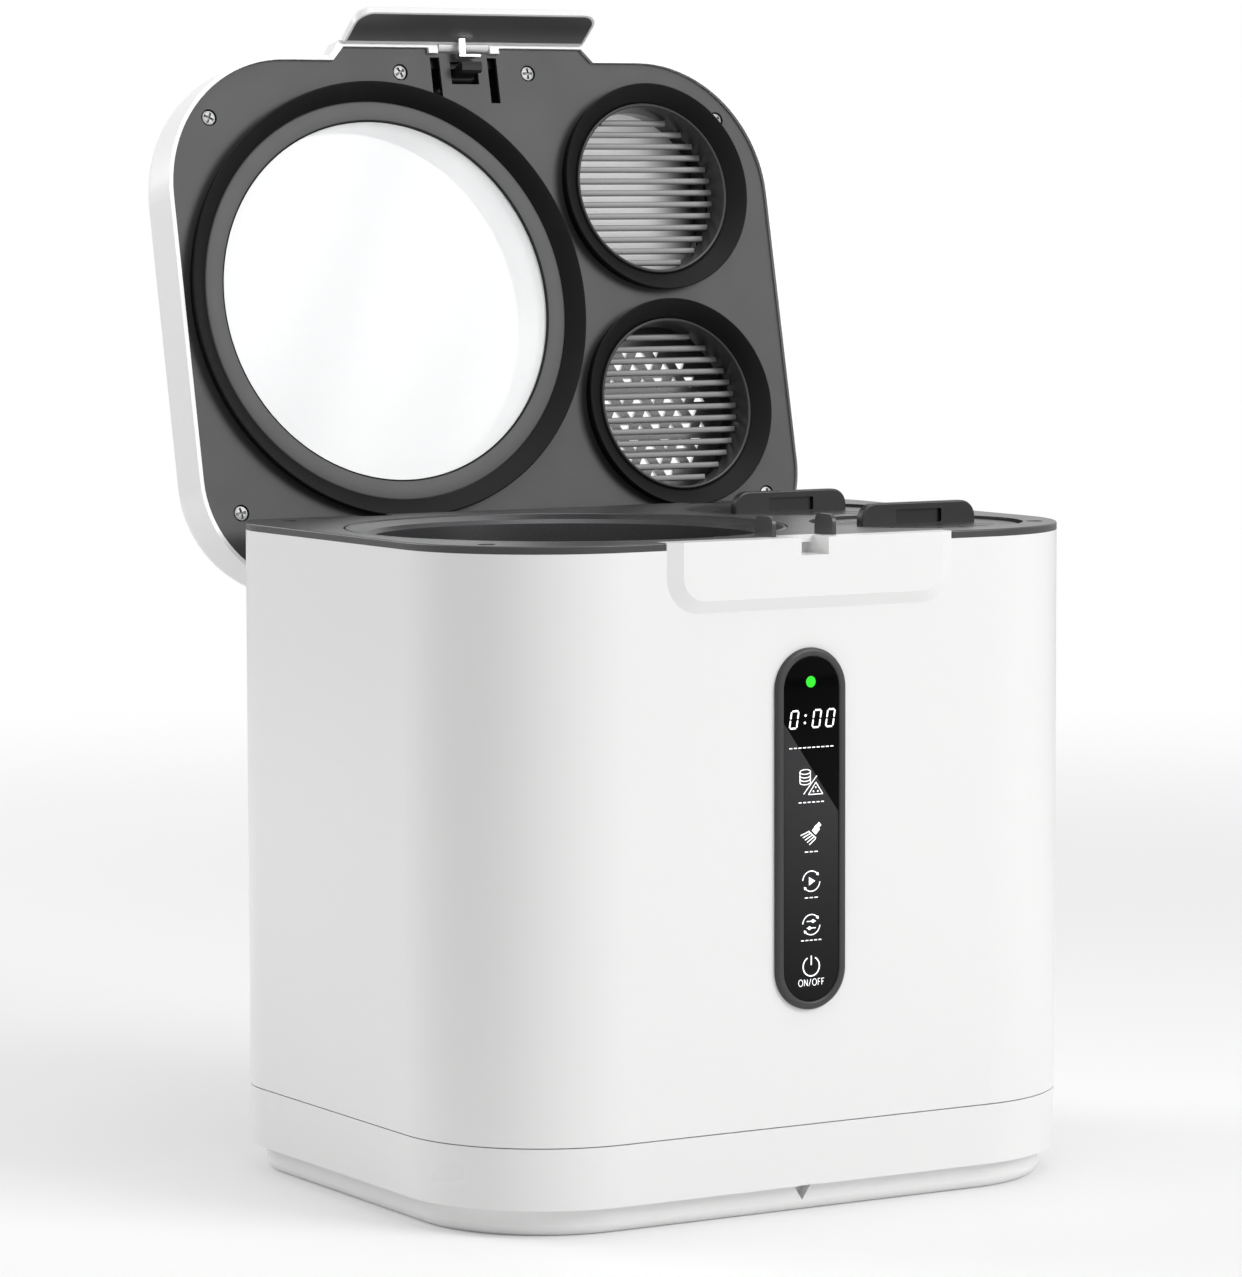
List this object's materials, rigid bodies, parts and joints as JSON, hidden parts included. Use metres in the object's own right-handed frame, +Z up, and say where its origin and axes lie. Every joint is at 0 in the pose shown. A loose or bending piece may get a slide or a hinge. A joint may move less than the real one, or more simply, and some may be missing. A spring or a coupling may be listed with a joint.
{
  "type": "electric food waste composter",
  "caption": "Counter-top electric food waste composter: rear-hinged lid with round window, lift-out stirred bucket, filter boxes, flip latch and touch panel.",
  "frame": {"origin": "centre of the base's footprint, on the counter", "axes": "+Z up, +Y to the hinge side, so the panel faces -Y and the bucket is on -X"},
  "size_m": [0.3508, 0.3608, 0.5697],
  "materials": {
    "white_gloss": "gloss moulded plastic",
    "dark_deck": "satin moulded plastic",
    "dark_trim": "satin",
    "panel_glass": "gloss black, printed behind",
    "circuit_board": "solder mask",
    "display_black": "matt",
    "led_green": "clear green lens",
    "spring_steel": "ground",
    "zinc_steel": "zinc plated",
    "spun_aluminium": "spun",
    "band_steel": "rolled",
    "housing_plastic": "fine spark texture",
    "sinter_bronze": "sintered",
    "motor_steel": "zinc passivated",
    "fan_black": "satin",
    "inlet_black": "satin",
    "nickel_pins": "nickel plated",
    "dark_arms": "satin powder coat",
    "liner_grey": "fine spark texture",
    "frame_grey": "satin",
    "clear_glass": "clear, tempered",
    "black_rubber": "satin silicone",
    "slat_grey": "satin",
    "duct_white": "moulded",
    "lever_dark": "semi gloss",
    "bright_chrome": "polished",
    "hook_black": "satin",
    "coated_bucket": "non-stick coating",
    "bail_wire": "drawn wire",
    "grip_black": "satin",
    "cast_rotor": "cast and tumbled",
    "gear_nylon": "natural nylon",
    "dark_filter": "satin",
    "canister_grey": "satin"
  },
  "bodies": {
    "cabinet": {"outer_shell": "white_gloss", "base_tray": "white_gloss", "rubber_feet": "black_rubber", "base_screws": "zinc_steel", "deck_frame": "dark_deck", "deck_screws": "zinc_steel", "latch_block": "white_gloss", "panel_bezel": "dark_trim", "panel_glass": "panel_glass", "display_board": "circuit_board", "display_module": "display_black", "led_lens": "led_green", "touch_pads": "spring_steel", "heater_pot": "spun_aluminium", "heater_band": "band_steel", "gearbox_base": "housing_plastic", "gearbox_cover": "housing_plastic", "output_bearing": "sinter_bronze", "idler_pin": "spring_steel", "drive_motor": "motor_steel", "filter_wells": "housing_plastic", "air_plenum": "housing_plastic", "fan_frame": "fan_black", "power_board": "circuit_board", "power_inlet": "inlet_black", "inlet_pins": "nickel_pins", "hinge_brackets": "band_steel", "hinge_pins": "spring_steel"},
    "lid": {"lid_shell": "white_gloss", "lid_liner": "liner_grey", "lid_screws": "zinc_steel", "window_frame": "frame_grey", "window_glass": "clear_glass", "window_seal": "black_rubber", "vent_seal_front": "black_rubber", "vent_seal_rear": "black_rubber", "louvre_grille_front": "slat_grey", "louvre_grille_rear": "slat_grey", "lid_duct": "duct_white", "hinge_arms": "dark_arms", "latch_pins": "spring_steel"},
    "lever": {"lever_cover": "white_gloss", "lever_plate": "lever_dark", "latch_arm": "bright_chrome"},
    "hook": {"latch_hook": "hook_black"},
    "bucket": {"bucket": "coated_bucket", "bucket_bush": "sinter_bronze"},
    "bail": {"bail_handle": "bail_wire", "bail_grip": "grip_black"},
    "rotor": {"rotor": "cast_rotor"},
    "output": {"output_shaft": "spring_steel", "output_gear": "gear_nylon", "drive_dog": "cast_rotor"},
    "idler": {"idler_gear": "gear_nylon"},
    "motor_shaft": {"motor_pinion": "sinter_bronze"},
    "fan": {"fan_impeller": "fan_black"},
    "filter_front": {"filter_lid_front": "dark_filter", "filter_canister_front": "canister_grey"},
    "filter_rear": {"filter_lid_rear": "dark_filter", "filter_canister_rear": "canister_grey"}
  },
  "joints": [
    {"name": "lid_hinge", "type": "hinge", "parent": "cabinet", "child": "lid", "pos_m": [0, 0.1203, 0.2992], "axis": [-1, 0, 0], "range_deg": [-102.17, 0], "deforming": ["window_seal", "vent_seal_front", "vent_seal_rear"]},
    {"name": "latch_lever", "type": "hinge", "parent": "lid", "child": "lever", "pos_m": [0, 0.19573, 0.55075], "axis": [-1, 0, 0], "range_deg": [-28, 31]},
    {"name": "hook_swing", "type": "hinge", "parent": "lid", "child": "hook", "pos_m": [0, 0.19832, 0.53434], "axis": [-1, 0, 0], "range_deg": [-16.81, 18.61]},
    {"name": "bucket_lift", "type": "slide", "parent": "cabinet", "child": "bucket", "axis": [0, 0, 1], "range_m": [0, 0.18]},
    {"name": "bail_swing", "type": "hinge", "parent": "bucket", "child": "bail", "pos_m": [-0.0589, -0.0098, 0.302], "axis": [-1, 0, 0], "range_deg": [0, 95]},
    {"name": "blade_spin", "type": "hinge", "parent": "bucket", "child": "rotor", "pos_m": [-0.0589, -0.0098, 0.18], "axis": [0, 0, 1], "continuous": true},
    {"name": "output_spin", "type": "hinge", "parent": "cabinet", "child": "output", "pos_m": [-0.0589, -0.0098, 0.125], "axis": [0, 0, 1], "continuous": true},
    {"name": "idler_spin", "type": "hinge", "parent": "cabinet", "child": "idler", "pos_m": [-0.0109, -0.0098, 0.12], "axis": [0, 0, 1], "continuous": true},
    {"name": "motor_spin", "type": "hinge", "parent": "cabinet", "child": "motor_shaft", "pos_m": [0.0266, -0.0098, 0.11], "axis": [0, 0, 1], "continuous": true},
    {"name": "fan_spin", "type": "hinge", "parent": "cabinet", "child": "fan", "pos_m": [0.104, -0.01, 0.172], "axis": [0, 0, 1], "continuous": true},
    {"name": "filter_front_lift", "type": "slide", "parent": "cabinet", "child": "filter_front", "axis": [0, 0, 1], "range_m": [0, 0.12]},
    {"name": "filter_rear_lift", "type": "slide", "parent": "cabinet", "child": "filter_rear", "axis": [0, 0, 1], "range_m": [0, 0.12]}
  ],
  "couplings": [
    {"joint": "hook_swing", "follows": "latch_lever", "ratio": 0.6},
    {"joint": "output_spin", "follows": "blade_spin", "ratio": 1},
    {"joint": "idler_spin", "follows": "blade_spin", "ratio": -3.5714},
    {"joint": "motor_spin", "follows": "blade_spin", "ratio": 14.286}
  ]
}
